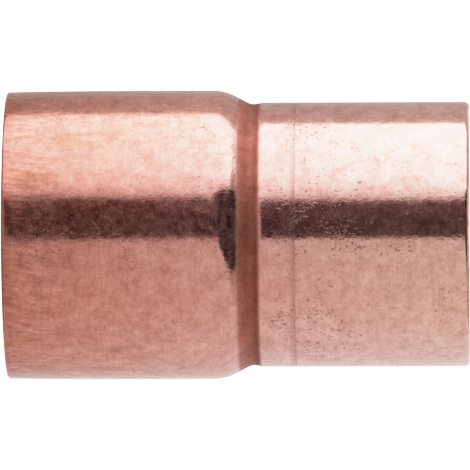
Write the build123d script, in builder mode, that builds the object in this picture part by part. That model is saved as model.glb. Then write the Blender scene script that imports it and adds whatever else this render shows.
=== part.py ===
from build123d import *
from math import acos, cos, degrees, radians, sin, tan
import os

# Concentric reducer: a one-piece copper solder fitting, formed from a short length of tube.
# Its large end is a plain male end, as wide as a tube, that goes into another fitting's
# solder cup. Its small end is a solder cup for the next smaller tube. A shoulder and a
# rolled neck join the two barrels.
#
# It stands on the rim of its large end. The origin is the centre of that rim, and +Z runs
# along the axis to the small end. Lengths are in millimetres and angles in degrees.

# ---- driving dimensions ----

# Along the axis, from the large rim upwards.
male_length = 13.57  # large rim to the bottom of the neck
throat_length = 2.18  # bottom of the neck to the tube stop
cup_depth = 9.65  # tube stop to the small rim

# Across the axis.
large_diameter = 15.875  # the outside of 1/2 in nominal copper tube
large_wall = 0.90
tube_diameter = 12.70  # the tube that the cup takes, 3/8 in nominal
solder_gap = 0.05  # on each side of that tube
cup_wall = 0.87
stop_step = 0.30  # how far the tube stop stands in from the cup's wall
stop_slope = 45.0  # of the tube stop, from the axis
stop_radius = 0.15  # of both corners of the tube stop

# Shoulder and neck, as seen from outside.
shoulder_radius = 2.58  # where the large barrel turns in
shoulder_slope = 28.0  # of the cone between shoulder and neck, from the axis
neck_depth = 0.09  # how far the neck dips below the small barrel
neck_radius = 0.70  # the hollow of the neck
lip_radius = 2.30  # where the neck rises to the small barrel

# Rims.
large_rim_radius = 0.17  # outer edge
large_rim_deburr = 0.12  # inner edge
small_rim_radius = 0.30  # outer edge
small_rim_lead = 0.15  # inner edge, which leads the tube in

# ---- sizes that follow ----

stop_height = male_length + throat_length
overall_length = stop_height + cup_depth

large_outside = large_diameter / 2
large_inside = large_outside - large_wall
cup_inside = tube_diameter / 2 + solder_gap
small_outside = cup_inside + cup_wall
neck_outside = small_outside - neck_depth
throat_inside = cup_inside - stop_step

# The outside drops from the large barrel to the neck by an arc, a cone and an arc.
slope = radians(shoulder_slope)
arcs_drop = (shoulder_radius + neck_radius) * (1 - cos(slope))
cone_height = (large_outside - neck_outside - arcs_drop) / tan(slope)
arcs_height = (shoulder_radius + neck_radius) * sin(slope)
shoulder_height = male_length - cone_height - arcs_height

# It rises again to the small barrel by two tangent arcs, which turn by the same angle.
lip_turn = degrees(acos(1 - neck_depth / (neck_radius + lip_radius)))

# The inside follows the outside of the shoulder, one large wall away from it.
outer_corner = shoulder_height + shoulder_radius * tan(slope / 2)
inner_corner = outer_corner - large_wall * tan(slope / 2)
throat_corner = inner_corner + (large_inside - throat_inside) / tan(slope)
stop_corner = stop_height - stop_step / tan(radians(stop_slope))

# ---- reducer_body: the whole fitting, its wall turned about the axis ----

with BuildPart() as reducer_body:
    with BuildSketch(Plane.XZ) as wall:
        with BuildLine():
            large_barrel = Line((large_outside, 0), (large_outside, shoulder_height))
            shoulder = JernArc(large_barrel @ 1, large_barrel % 1, shoulder_radius, shoulder_slope)
            cone = PolarLine(shoulder @ 1, cone_height / cos(slope), direction=shoulder % 1)
            neck = JernArc(cone @ 1, cone % 1, neck_radius, -shoulder_slope - lip_turn)
            lip = JernArc(neck @ 1, neck % 1, lip_radius, lip_turn)
            small_barrel = Line(lip @ 1, (small_outside, overall_length))
            small_rim = Line(small_barrel @ 1, (cup_inside, overall_length))
            cup = Line(small_rim @ 1, (cup_inside, stop_height))
            tube_stop = Line(cup @ 1, (throat_inside, stop_corner))
            throat = Line(tube_stop @ 1, (throat_inside, throat_corner))
            inner_cone = Line(throat @ 1, (large_inside, inner_corner))
            large_bore = Line(inner_cone @ 1, (large_inside, 0))
            large_rim = Line(large_bore @ 1, large_barrel @ 0)
        make_face()

        # The inner arcs share their centres with the outer ones.
        fillet(wall.vertices().sort_by_distance(inner_cone @ 1)[0], shoulder_radius - large_wall)
        fillet(wall.vertices().sort_by_distance(inner_cone @ 0)[0], neck_radius + large_wall)
        fillet(wall.vertices().sort_by_distance(tube_stop @ 0)[0], stop_radius)
        fillet(wall.vertices().sort_by_distance(tube_stop @ 1)[0], stop_radius)
        fillet(wall.vertices().sort_by_distance(large_rim @ 1)[0], large_rim_radius)
        fillet(wall.vertices().sort_by_distance(small_rim @ 0)[0], small_rim_radius)
        chamfer(wall.vertices().sort_by_distance(large_rim @ 0)[0], large_rim_deburr)
        chamfer(wall.vertices().sort_by_distance(small_rim @ 1)[0], small_rim_lead)
    revolve(axis=Axis.Z)

reducer_body.part.label = "reducer_body"

os.makedirs("parts", exist_ok=True)
export_step(reducer_body.part, "parts/reducer_body.step")
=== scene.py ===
from math import acos, cos, pi, radians, sin, tan

import bmesh
import bpy
from mathutils import Matrix, Vector


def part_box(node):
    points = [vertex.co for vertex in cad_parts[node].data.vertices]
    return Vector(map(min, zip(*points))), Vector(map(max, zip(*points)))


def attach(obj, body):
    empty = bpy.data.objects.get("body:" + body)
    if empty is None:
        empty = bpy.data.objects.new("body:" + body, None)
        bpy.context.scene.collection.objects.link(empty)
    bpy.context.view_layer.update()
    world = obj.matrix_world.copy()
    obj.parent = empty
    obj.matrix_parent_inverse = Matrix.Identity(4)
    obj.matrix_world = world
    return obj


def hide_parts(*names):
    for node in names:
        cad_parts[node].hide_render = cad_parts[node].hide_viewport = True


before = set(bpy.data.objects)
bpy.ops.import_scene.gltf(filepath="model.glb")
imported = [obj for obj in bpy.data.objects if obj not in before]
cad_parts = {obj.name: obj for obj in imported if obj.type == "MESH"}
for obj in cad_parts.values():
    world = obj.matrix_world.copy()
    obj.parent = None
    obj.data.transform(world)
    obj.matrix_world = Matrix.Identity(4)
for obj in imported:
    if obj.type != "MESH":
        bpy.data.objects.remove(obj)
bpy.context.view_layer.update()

# Concentric reducer, a one-piece copper solder fitting. It stands on the rim of its large
# end, with its axis on +Z. Lengths are in metres, and mm turns millimetres into them.
mm = 0.001

base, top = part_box("reducer_body")
large_outside = min(-base.x, top.x)  # the lesser, which keeps the mesh inside the CAD's box
overall = top.z - base.z


# ---- helpers for materials ----

def linear(hex_colour, alpha=1.0):
    """An sRGB hex colour, such as "b87333", as the linear RGBA that a shader takes."""
    parts = [int(hex_colour[i:i + 2], 16) / 255 for i in (0, 2, 4)]
    return [c / 12.92 if c <= 0.04045 else ((c + 0.055) / 1.055) ** 2.4 for c in parts] + [alpha]


def add(tree, kind, inputs=None, **settings):
    """Adds a node, with its settings. An input gets a value, or a link from a node or a socket."""
    node = tree.nodes.new("ShaderNode" + kind)
    for name, value in settings.items():
        setattr(node, name, value)
    for name, value in (inputs or {}).items():
        if isinstance(value, bpy.types.Node):
            value = value.outputs[0]
        if isinstance(value, bpy.types.NodeSocket):
            tree.links.new(value, node.inputs[name])
        else:
            node.inputs[name].default_value = value
    return node


def set_stops(ramp, pairs):
    """Gives a colour ramp its stops, as (position, colour) pairs in rising order."""
    elements = ramp.color_ramp.elements
    while len(elements) < len(pairs):
        elements.new(1.0)
    for element, (position, colour) in zip(elements, pairs, strict=True):
        element.position = position
        element.color = colour
    return ramp


# ---- the copper fitting ----

# The wall, as the CAD has it.
large_wall = 0.90 * mm
small_outside = 7.27 * mm
neck_outside = 7.18 * mm
cup_inside = 6.40 * mm
throat_inside = 6.10 * mm
neck_height = 13.57 * mm
stop_height = 15.75 * mm
shoulder_radius = 2.58 * mm
shoulder_slope = radians(28)
neck_radius = 0.70 * mm
lip_radius = 2.30 * mm
stop_radius = 0.15 * mm
large_rim_radius = 0.17 * mm
large_rim_deburr = 0.12 * mm
small_rim_radius = 0.30 * mm
small_rim_lead = 0.15 * mm
large_inside = large_outside - large_wall

# What forming leaves on the real wall: the cut end closes in a little, and the sizing punch
# leaves a fine ring outside, where the cup ends inside.
mouth_height = 5.5 * mm
mouth_closing = 0.06 * mm
ring_height = 15.81 * mm
ring_width = 0.20 * mm
ring_depth = 0.004 * mm


def straight(bm, start, x, z, steps=1):
    """Draws the outline straight on from start to (x, z), in equal steps, and returns its end."""
    step = (Vector((x, 0, z)) - start.co) / steps
    for _ in range(steps):
        end = bmesh.ops.extrude_vert_indiv(bm, verts=[start])["verts"][0]
        end.co += step
        start = end
    return start


def arc(bm, start, x, z, turn, steps):
    """Draws the outline on round (x, z) by a turn, positive from +X to -Z, and returns its end."""
    swept = bmesh.ops.spin(bm, geom=[start], cent=(x, 0, z), axis=(0, 1, 0), angle=turn, steps=steps)
    return swept["geom_last"][0]


def round_off(bm, corner, reach, segments):
    """Rounds a corner of the outline, a reach to each side. One segment makes a chamfer."""
    bmesh.ops.bevel(
        bm, geom=[corner], offset=reach, offset_type="ABSOLUTE", segments=segments,
        profile=0.5, affect="VERTICES", material=-1,
    )


lip_turn = acos(1 - (small_outside - neck_outside) / (neck_radius + lip_radius))
arcs_drop = (shoulder_radius + neck_radius) * (1 - cos(shoulder_slope))
cone_height = (large_outside - neck_outside - arcs_drop) / tan(shoulder_slope)
shoulder_height = neck_height - cone_height - (shoulder_radius + neck_radius) * sin(shoulder_slope)
inner_corner = shoulder_height + (shoulder_radius - large_wall) * tan(shoulder_slope / 2)
throat_corner = inner_corner + (large_inside - throat_inside) / tan(shoulder_slope)
stop_corner = stop_height - (cup_inside - throat_inside)

bm = bmesh.new()

# Outside, from the large rim up.
large_edge = bm.verts.new((large_outside, 0, 0))
v = straight(bm, large_edge, large_outside, mouth_height, 12)
v = straight(bm, v, large_outside, shoulder_height, 6)
v = arc(bm, v, large_outside - shoulder_radius, shoulder_height, -shoulder_slope, 14)
v = straight(bm, v, v.co.x - cone_height * tan(shoulder_slope), v.co.z + cone_height, 2)
v = arc(bm, v, neck_outside + neck_radius, neck_height, shoulder_slope + lip_turn, 14)
v = arc(bm, v, small_outside - lip_radius, v.co.z + lip_radius * sin(lip_turn), -lip_turn, 6)
v = straight(bm, v, small_outside, ring_height - ring_width / 2, 2)
v = straight(bm, v, small_outside - ring_depth, ring_height)
v = straight(bm, v, small_outside, ring_height + ring_width / 2)
small_edge = straight(bm, v, small_outside, overall, 8)

# Inside, back down.
small_lead = straight(bm, small_edge, cup_inside, overall)
stop_top = straight(bm, small_lead, cup_inside, stop_height, 4)
stop_foot = straight(bm, stop_top, throat_inside, stop_corner)
throat_foot = straight(bm, stop_foot, throat_inside, throat_corner, 2)
bore_top = straight(bm, throat_foot, large_inside, inner_corner, 2)
v = straight(bm, bore_top, large_inside, mouth_height, 4)
large_lead = straight(bm, v, large_inside, 0, 6)
bm.edges.new((large_lead, large_edge))

half_turn = tan(shoulder_slope / 2)
round_off(bm, large_edge, large_rim_radius, 6)
round_off(bm, small_edge, small_rim_radius, 8)
round_off(bm, small_lead, small_rim_lead, 1)
round_off(bm, large_lead, large_rim_deburr, 1)
round_off(bm, stop_top, stop_radius * tan(pi / 8), 3)
round_off(bm, stop_foot, stop_radius * tan(pi / 8), 3)
round_off(bm, throat_foot, (neck_radius + large_wall) * half_turn, 6)
round_off(bm, bore_top, (shoulder_radius - large_wall) * half_turn, 6)

bmesh.ops.spin(
    bm, geom=bm.verts[:] + bm.edges[:], cent=(0, 0, 0), axis=(0, 0, 1),
    angle=2 * pi, steps=256, use_merge=True,
)
bmesh.ops.remove_doubles(bm, verts=bm.verts[:], dist=0.0001 * mm)

for vert in bm.verts:
    if vert.co.z < mouth_height:
        inwards = mouth_closing * (1 - vert.co.z / mouth_height) ** 2
        vert.co.xy *= 1 - inwards / vert.co.xy.length

bmesh.ops.recalc_face_normals(bm, faces=bm.faces[:])
for face in bm.faces:
    face.smooth = True
mesh = bpy.data.meshes.new("copper_reducer")
bm.to_mesh(mesh)
bm.free()
reducer = bpy.data.objects.new("copper_reducer", mesh)
bpy.context.scene.collection.objects.link(reducer)
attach(reducer, "root")
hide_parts("reducer_body")


# ---- drawn copper ----

# Drawn copper as it leaves the sizing tools: a bright, slightly hazy mirror, finely lined along
# and round the axis, with a mottle of every size from a millimetre down, short leaning streaks
# near the cut end, small pits that are darkened partly as painted shade, hairline scratches, brown
# stains and a warm tarnish that deepens to the cut end. In the neck, where the rolls press and don't
# wipe it, it stays dull and red, with painted shade darkening it under the lip.
copper = bpy.data.materials.new("drawn_copper")
copper.use_nodes = True
tree = copper.node_tree
tree.nodes.clear()

place = add(tree, "TexCoord").outputs["Object"]
in_mm = add(tree, "VectorMath", {0: place, "Scale": 1 / mm}, operation="SCALE")
height = add(tree, "SeparateXYZ", {"Vector": in_mm}).outputs["Z"]


def at(height_in_mm):
    """A height on the fitting, as a share of its length."""
    return height_in_mm * mm / overall


def streaks(stretch, width, lean=0.0):
    """Streaks that wide in mm, long along the axes whose stretch is under 1, and leaning."""
    leaning = add(tree, "VectorRotate", {"Vector": in_mm, "Angle": lean}, rotation_type="Y_AXIS")
    drawn_out = add(tree, "VectorMath", {0: leaning, 1: stretch}, operation="MULTIPLY")
    lines = {"Vector": drawn_out, "Scale": 1 / width, "Detail": 3.0, "Roughness": 0.6}
    return add(tree, "TexNoise", lines)


soft = {"interpolation_type": "SMOOTHSTEP"}  # for a range that is eased at both ends

# Patterns. The real haze and drawing lines are a few microns wide. They are drawn 0.1 mm wide
# and more, so that they show at the size of a picture of the whole fitting.
mottle = add(tree, "TexNoise", {"Vector": in_mm, "Scale": 1 / 0.9, "Detail": 4.0, "Roughness": 0.9})
haze = add(tree, "TexNoise", {"Vector": in_mm, "Scale": 1 / 0.7, "Detail": 4.0, "Roughness": 0.95})
blotches = add(tree, "TexNoise", {"Vector": in_mm, "Scale": 1 / 2.2, "Detail": 2.0})
along_axis = streaks((1, 1, 0.06), 0.20)
round_axis = streaks((0.06, 0.06, 1), 0.12)
mouth_grain = streaks((1, 1, 0.20), 0.22, radians(-12))

# Pits and dashes crowd together in patches, and most of all just above the neck.
crowding = add(tree, "Math", {0: blotches, 1: 0.5, 2: -0.275}, operation="MULTIPLY_ADD")
for low, high, more in ((14.2, 15.5, 0.075), (17.5, 20.0, -0.05)):
    above = add(tree, "MapRange", {"Value": height, "From Min": low, "From Max": high}, **soft)
    crowding = add(tree, "Math", {0: above, 1: more, 2: crowding}, operation="MULTIPLY_ADD")
pits = add(tree, "TexNoise", {"Vector": in_mm, "Scale": 1 / 0.17, "Detail": 1.0})
pits = add(tree, "Math", {0: pits, 1: crowding}, operation="ADD")
pits = add(tree, "MapRange", {"Value": pits, "From Min": 0.70, "From Max": 0.77}, **soft)
dashes = add(tree, "Math", {0: streaks((0.3, 0.3, 1), 0.13), 1: crowding}, operation="ADD")
dashes = add(tree, "MapRange", {"Value": dashes, "From Min": 0.70, "From Max": 0.76}, **soft)

# Hairline scratches wander over patches of the large barrel.
scratches = {"Vector": in_mm, "Scale": 1 / 1.5, "Detail": 1.0, "Distortion": 0.6}
scratches = add(tree, "TexNoise", scratches)
scratches = add(tree, "Math", {0: scratches, 1: 0.5, 2: 0.005}, operation="COMPARE")
for pattern, without, full in ((blotches, 0.54, 0.60), (height, 13.0, 11.5)):
    patch = {"Value": pattern, "From Min": without, "From Max": full}
    patch = add(tree, "MapRange", patch, **soft)
    scratches = add(tree, "Math", {0: scratches, 1: patch}, operation="MULTIPLY")

# How the bare colour runs from the cut end to the small rim. The blotches shift it.
share = add(tree, "MapRange", {"Value": height, "From Max": overall / mm})
shifted = add(tree, "Math", {0: blotches, 1: 0.08, 2: -0.04}, operation="MULTIPLY_ADD")
shifted = add(tree, "Math", {0: share, 1: shifted}, operation="ADD")
tarnish = set_stops(add(tree, "ValToRGB", {"Fac": shifted}), [
    (at(0.0), linear("c3786a")),
    (at(0.6), linear("cf8779")),
    (at(2.0), linear("d38d80")),
    (at(5.0), linear("dc9587")),
    (at(10.5), linear("e7a49a")),
    (at(14.4), linear("efb0a7")),
    (at(25.4), linear("f9c2b6")),
])
# The neck's colour: the dull red that the rolls leave, which darkens into the groove under the lip.
# The darkest stops there are painted shade. Its alpha is how far the neck's dull finish reaches.
neck = set_stops(add(tree, "ValToRGB", {"Fac": share}), [
    (at(12.68), linear("c47a6a", 0.0)),
    (at(12.82), linear("c47a6a", 0.9)),
    (at(13.15), linear("b97262")),
    (at(13.45), linear("ac6a5a")),
    # painted shade: the bottom of the groove, under the lip, is darkened
    (at(13.72), linear("9a564a")),
    (at(13.87), linear("9a564a")),
    (at(14.04), linear("c88a7a", 0.0)),
])
in_neck = neck.outputs["Alpha"]
coloured = add(tree, "Mix", {0: in_neck, 6: tarnish, 7: neck}, data_type="RGBA").outputs[2]

# Brown stains run along the large barrel, most of all near the cut end.
reach = add(tree, "MapRange", {"Value": height, "From Min": 10.5, "From Max": 1.0, "To Max": 0.55})
stains = {"Value": streaks((1, 1, 0.2), 0.9), "From Min": 0.52, "From Max": 0.66}
stains = add(tree, "MapRange", stains, **soft)
stains = add(tree, "Math", {0: reach, 1: stains}, operation="MULTIPLY")
brown = linear("b4765a")
coloured = add(tree, "Mix", {0: stains, 6: coloured, 7: brown}, data_type="RGBA").outputs[2]

# The mark that the sizing punch leaves: two broken hairlines round the small barrel.
wander = add(tree, "Math", {0: mottle, 1: at(0.30), 2: -at(0.15)}, operation="MULTIPLY_ADD")
wander = add(tree, "Math", {0: share, 1: wander}, operation="ADD")
ring = set_stops(add(tree, "ValToRGB", {"Fac": wander}), [
    (at(15.64), (0, 0, 0, 1)),
    (at(15.70), (0.7, 0.7, 0.7, 1)),
    (at(15.76), (0.1, 0.1, 0.1, 1)),
    (at(15.81), (1, 1, 1, 1)),
    (at(15.87), (1, 1, 1, 1)),
    (at(15.94), (0, 0, 0, 1)),
])
broken = {"Value": mottle, "From Min": 0.40, "From Max": 0.60, "To Min": 0.35}
broken = add(tree, "MapRange", broken)
ring = add(tree, "Math", {0: ring, 1: broken}, operation="MULTIPLY")

# What each pattern leaves of the colour.
# Pits darken the colour, partly as real tarnish in them and partly as painted shade.
pit_tarnish_and_shade = add(tree, "Math", {0: pits, 1: -0.45, 2: 1.0}, operation="MULTIPLY_ADD")
ringed = add(tree, "Math", {0: ring, 1: -0.52, 2: 1.0}, operation="MULTIPLY_ADD")
lined = {"Value": round_axis, "From Min": 0.3, "From Max": 0.7, "To Min": 0.94, "To Max": 1.06}
lined = add(tree, "MapRange", lined)
near_mouth = add(tree, "MapRange", {"Value": height, "From Min": 4.6, "From Max": 1.4}, **soft)
grained = add(tree, "Math", {0: mouth_grain, 1: 0.5}, operation="SUBTRACT")
grained = add(tree, "Math", {0: grained, 1: near_mouth}, operation="MULTIPLY")
grained = add(tree, "Math", {0: grained, 1: 1.2, 2: 1.0}, operation="MULTIPLY_ADD")
mottle_depth = (1.15, 1.60, 1.75)  # red varies least, so the darker spots are redder
mottled = {0: mottle, 1: mottle_depth, 2: [1 - depth / 2 for depth in mottle_depth]}
mottled = add(tree, "VectorMath", mottled, operation="MULTIPLY_ADD")
for part in (mottled, pit_tarnish_and_shade, ringed, lined, grained):
    coloured = add(tree, "VectorMath", {0: coloured, 1: part}, operation="MULTIPLY")

# Roughness: the haze, a little less towards the small rim, and what each mark adds to it.
dull = add(tree, "MapRange", {"Value": haze, "From Min": 0.25, "From Max": 0.75, "To Max": 0.22})
clearing = add(tree, "MapRange", {"Value": share, "To Min": 0.03, "To Max": -0.02})
dull = add(tree, "Math", {0: dull, 1: clearing}, operation="ADD")
for part, amount in (
    (in_neck, 0.43), (near_mouth, 0.04), (dashes, 0.11), (scratches, 0.11), (pits, 0.10), (ring, 0.22),
):
    dull = add(tree, "Math", {0: part, 1: amount, 2: dull}, operation="MULTIPLY_ADD")

# Relief, as heights in millimetres.
relief = None
for pattern, depth in ((mottle, 0.009), (along_axis, 0.0016), (round_axis, 0.0010), (pits, -0.004)):
    upwards = {"Normal": relief} if relief else {}
    relief = add(tree, "Bump", {"Height": pattern, "Strength": 1.0, "Distance": depth * mm, **upwards})

# A thin skin of oxide is no metal. Spots of it show in the dark reflections, and there is
# more of it on the large barrel.
oxide = add(tree, "TexNoise", {"Vector": in_mm, "Scale": 1 / 0.5, "Detail": 4.0, "Roughness": 0.9})
oxide = add(tree, "MapRange", {"Value": oxide, "From Min": 0.40, "From Max": 0.70})
thickness = {"Value": height, "From Min": 12.0, "From Max": 14.0, "To Min": 0.12, "To Max": 0.06}
thickness = add(tree, "MapRange", thickness)
oxide = add(tree, "Math", {0: oxide, 1: thickness}, operation="MULTIPLY")
bare = add(tree, "Math", {0: 1.0, 1: oxide}, operation="SUBTRACT")

shader = {"Base Color": coloured, "Roughness": dull, "Normal": relief, "Metallic": bare}
add(tree, "OutputMaterial", {"Surface": add(tree, "BsdfPrincipled", shader)})
mesh.materials.append(copper)


# ---- the studio ----

# A camera's own tones: mid tones as they are, and bright ones that roll off before white.
scene = bpy.context.scene
scene.view_settings.view_transform = "Standard"
scene.view_settings.use_curve_mapping = True
whitest = 2.4  # the light that turns quite white
tones = scene.view_settings.curve_mapping
tones.white_level = (whitest, whitest, whitest)
tones.extend = "HORIZONTAL"
roll_off = tones.curves[3].points
for light_in, light_out in ((0.50, 0.50), (0.80, 0.745), (1.0, 0.85), (1.4, 0.91), (1.9, 0.965)):
    roll_off.new(light_in / whitest, light_out)
for point in roll_off:
    point.handle_type = "VECTOR"
tones.update()

# A white room for the camera, and for the copper a studio: a tall softbox on its -X side, a
# black card beside the camera, grey walls and a ceiling. A direction is a turn about the
# fitting's axis, from the camera's side towards -X, and a lift above the horizon, in degrees.
world = bpy.data.worlds.new("studio")
scene.world = world
world.use_nodes = True
tree = world.node_tree
tree.nodes.clear()
brightest = 2.4  # the strength of the studio, of which every colour below is a share
backdrop = 2.6  # the strength of the white room, past the whitest light

look = add(tree, "TexCoord").outputs["Generated"]
back = add(tree, "VectorMath", {0: look, "Scale": -1.0}, operation="SCALE")
back = add(tree, "SeparateXYZ", {"Vector": back})
turn = add(tree, "Math", {0: back.outputs["X"], 1: back.outputs["Y"]}, operation="ARCTAN2")
turn = add(tree, "Math", {0: turn}, operation="DEGREES")
lift = add(tree, "Math", {0: back.outputs["Z"]}, operation="ARCSINE")
lift = add(tree, "Math", {0: lift}, operation="DEGREES")
lift = add(tree, "Math", {0: lift, 1: -1.0}, operation="MULTIPLY")
turned = add(tree, "MapRange", {"Value": turn, "From Min": -180.0, "From Max": 180.0})


def around(pairs):
    """The light from all round the axis, from (turn in degrees, radiance) pairs."""
    colours = [((a + 180) / 360, [e / brightest] * 3 + [1.0]) for a, e in pairs]
    return set_stops(add(tree, "ValToRGB", {"Fac": turned}), colours)


def tinted(light, pairs):
    """That light, tinted by (turn in degrees, red, green, blue)."""
    tints = [((a + 180) / 360, (*tint, 1.0)) for a, *tint in pairs]
    tint = set_stops(add(tree, "ValToRGB", {"Fac": turned}), tints)
    return add(tree, "VectorMath", {0: light, 1: tint}, operation="MULTIPLY")


walls = around([
    (-180, 0.95), (-150, 0.87), (-90, 0.77), (-30, 0.655), (20, 0.60), (30, 0.64), (32.7, 0.82),
    (36, 1.14), (40, 1.40), (45, 1.62), (52, 1.82), (65, 2.02), (80, 2.28), (96, 2.40), (108, 2.35),
    (112, 2.25), (113.5, 0.64), (130, 0.52), (150, 0.50), (170, 0.54), (180, 0.50),
])
walls = tinted(walls, [
    (-180, 0.93, 1.00, 1.00), (-130, 0.93, 1.00, 1.00), (-90, 0.97, 0.98, 0.94),
    (-60, 0.99, 0.93, 0.84), (-20, 1.02, 0.98, 0.90), (20, 0.98, 0.98, 0.98),
    (45, 0.93, 0.99, 1.00), (100, 0.92, 1.00, 1.00), (112, 0.92, 1.00, 1.00),
    (114, 1.00, 0.98, 0.92), (180, 1.06, 0.99, 0.92),
])
ceiling = around([
    (-180, 1.5), (-150, 0.50), (-60, 0.46), (-20, 0.38), (0, 0.36), (40, 0.44), (110, 0.47),
    (150, 0.60), (180, 1.5),
])
ceiling = add(tree, "VectorMath", {0: ceiling, 1: (1.06, 0.98, 0.92)}, operation="MULTIPLY")

# The ceiling starts at a lift of about 45, and lower past a turn of 74.
edge = add(tree, "Math", {0: turn, 1: 74.0}, operation="SUBTRACT")
edge = add(tree, "Math", {0: edge, 1: 0.0}, operation="MAXIMUM")
edge = add(tree, "Math", {0: edge, 1: 0.32, 2: lift}, operation="MULTIPLY_ADD")
overhead = add(tree, "MapRange", {"Value": edge, "From Min": 43.0, "From Max": 46.0}, **soft)

# The card widens upwards: on its near side from a lift of 16.5, and on its far side from the
# horizon. It ends below the horizon and at a lift of about 57.
near = add(tree, "Math", {0: lift, 1: 16.5}, operation="SUBTRACT")
near = add(tree, "Math", {0: near, 1: 0.0}, operation="MAXIMUM")
near = add(tree, "Math", {0: near, 1: 1.1, 2: turn}, operation="MULTIPLY_ADD")
far = add(tree, "Math", {0: lift, 1: 0.0}, operation="MAXIMUM")
far = add(tree, "Math", {0: far, 1: -0.4, 2: turn}, operation="MULTIPLY_ADD")
card = 1.0
for angle, outside, inside in (
    (near, -4.0, -2.6), (far, 31.0, 28.2), (lift, 58.0, 56.0), (lift, -16.0, -11.0),
):
    side = {"Value": angle, "From Min": outside, "From Max": inside}
    side = add(tree, "MapRange", side, **soft)
    card = add(tree, "Math", {0: card, 1: side}, operation="MULTIPLY")

# Its tones: darker towards the camera, and darkest where it rises.
dark, paler, darkest, shade = (
    [part / brightest for part in tone] + [1.0] for tone in (
        (0.060, 0.036, 0.038), (0.118, 0.076, 0.078), (0.022, 0.012, 0.016), (0.3, 0.3, 0.3),
    )
)
far_half = add(tree, "MapRange", {"Value": turn, "From Min": 12.0, "From Max": 29.0}, **soft)
risen = add(tree, "MapRange", {"Value": lift, "From Min": 15.5, "From Max": 18.5}, **soft)
black = add(tree, "Mix", {0: far_half, 6: dark, 7: paler}, data_type="RGBA").outputs[2]
black = add(tree, "Mix", {0: risen, 6: black, 7: darkest}, data_type="RGBA").outputs[2]

# Over the walls come the ceiling, the card and the shaded floor.
underfoot = add(tree, "MapRange", {"Value": lift, "From Min": -35.0, "From Max": -60.0}, **soft)
light = walls
for share_of_it, colour in ((overhead, ceiling), (card, black), (underfoot, shade)):
    light = add(tree, "Mix", {0: share_of_it, 6: light, 7: colour}, data_type="RGBA").outputs[2]

seen = add(tree, "LightPath").outputs["Is Camera Ray"]
studio = add(tree, "Background", {"Color": light, "Strength": brightest})
white = add(tree, "Background", {"Color": (1, 1, 1, 1), "Strength": backdrop})
add(tree, "OutputWorld", {"Surface": add(tree, "MixShader", {0: seen, 1: studio, 2: white})})

# A plain white floor, lit from below as a light table is. The copper doesn't mirror it.
bm = bmesh.new()
bmesh.ops.create_circle(bm, cap_ends=True, segments=64, radius=1.2)
mesh = bpy.data.meshes.new("floor")
bm.to_mesh(mesh)
bm.free()
floor = bpy.data.objects.new("floor", mesh)
scene.collection.objects.link(floor)
floor.visible_glossy = False
paper = bpy.data.materials.new("matt_white_paper")
paper.use_nodes = True
sheet = paper.node_tree.nodes["Principled BSDF"]
sheet.inputs["Base Color"].default_value = linear("fafafa")
sheet.inputs["Roughness"].default_value = 0.9
sheet.inputs["Emission Color"].default_value = linear("ffffff")
sheet.inputs["Emission Strength"].default_value = 1.9
mesh.materials.append(paper)

# ---- the camera ----

# It stands level with the small rim and looks at the middle of the fitting, with the large end
# on the left of its picture.
camera_data = bpy.data.cameras.new("camera")
camera_data.sensor_width = 36
camera_data.lens = 697  # a far-off view, in which the fitting fills the picture's width
camera_data.clip_start, camera_data.clip_end = 0.01, 10
camera = bpy.data.objects.new("camera", camera_data)
eye = Vector((0, -0.5, overall))
aim = Vector((0.018 * mm, 0, overall / 2 - 0.20 * mm))  # a hair off the middle
roll = radians(0.18)  # off level
forward = (aim - eye).normalized()
right = forward.cross(Vector((-1, 0, 0))).normalized()
facing = Matrix((right, right.cross(forward), -forward)).transposed()
facing = facing @ Matrix.Rotation(-roll, 3, "Z")
camera.matrix_world = Matrix.Translation(eye) @ facing.to_4x4()
scene.collection.objects.link(camera)
scene.camera = camera
